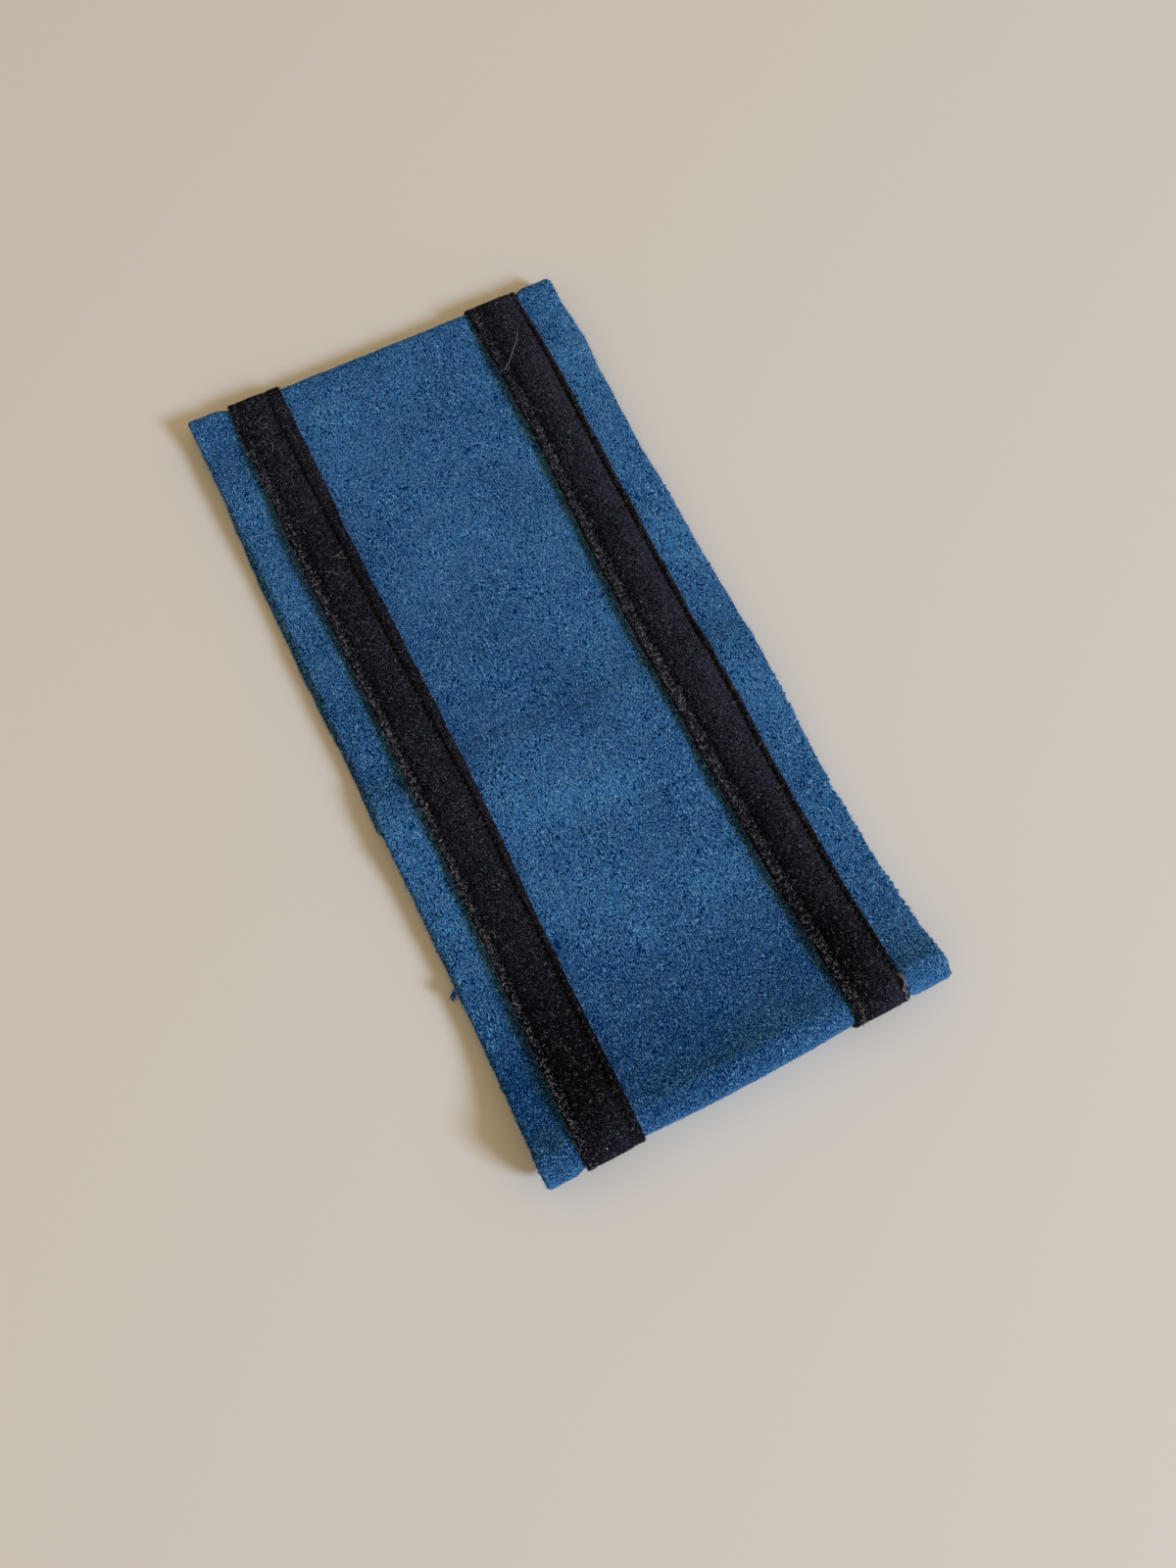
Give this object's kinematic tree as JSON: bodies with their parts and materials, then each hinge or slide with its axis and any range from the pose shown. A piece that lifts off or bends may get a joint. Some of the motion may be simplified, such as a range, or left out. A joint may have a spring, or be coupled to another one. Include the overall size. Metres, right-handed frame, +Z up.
{
  "type": "armband",
  "caption": "Wool cloth armband, a closed band pressed flat with a fold at each end and a narrow black stripe sewn round it near each long edge.",
  "frame": {"origin": "middle of the underside, on the surface that the armband lies on", "axes": "+X along the flattened band towards its open fold, +Y across it, +Z up"},
  "size_m": [0.2018, 0.1006, 0.0117],
  "materials": {
    "blue_wool": "felted wool melton, royal blue, raw cut edges",
    "black_wool": "black wool facing cloth, short nap",
    "black_thread": "black sewing thread",
    "lint": "pale stray fibres"
  },
  "bodies": {
    "root": {"band": "blue_wool", "stripe_left": "black_wool", "stripe_right": "black_wool"}
  },
  "joints": []
}
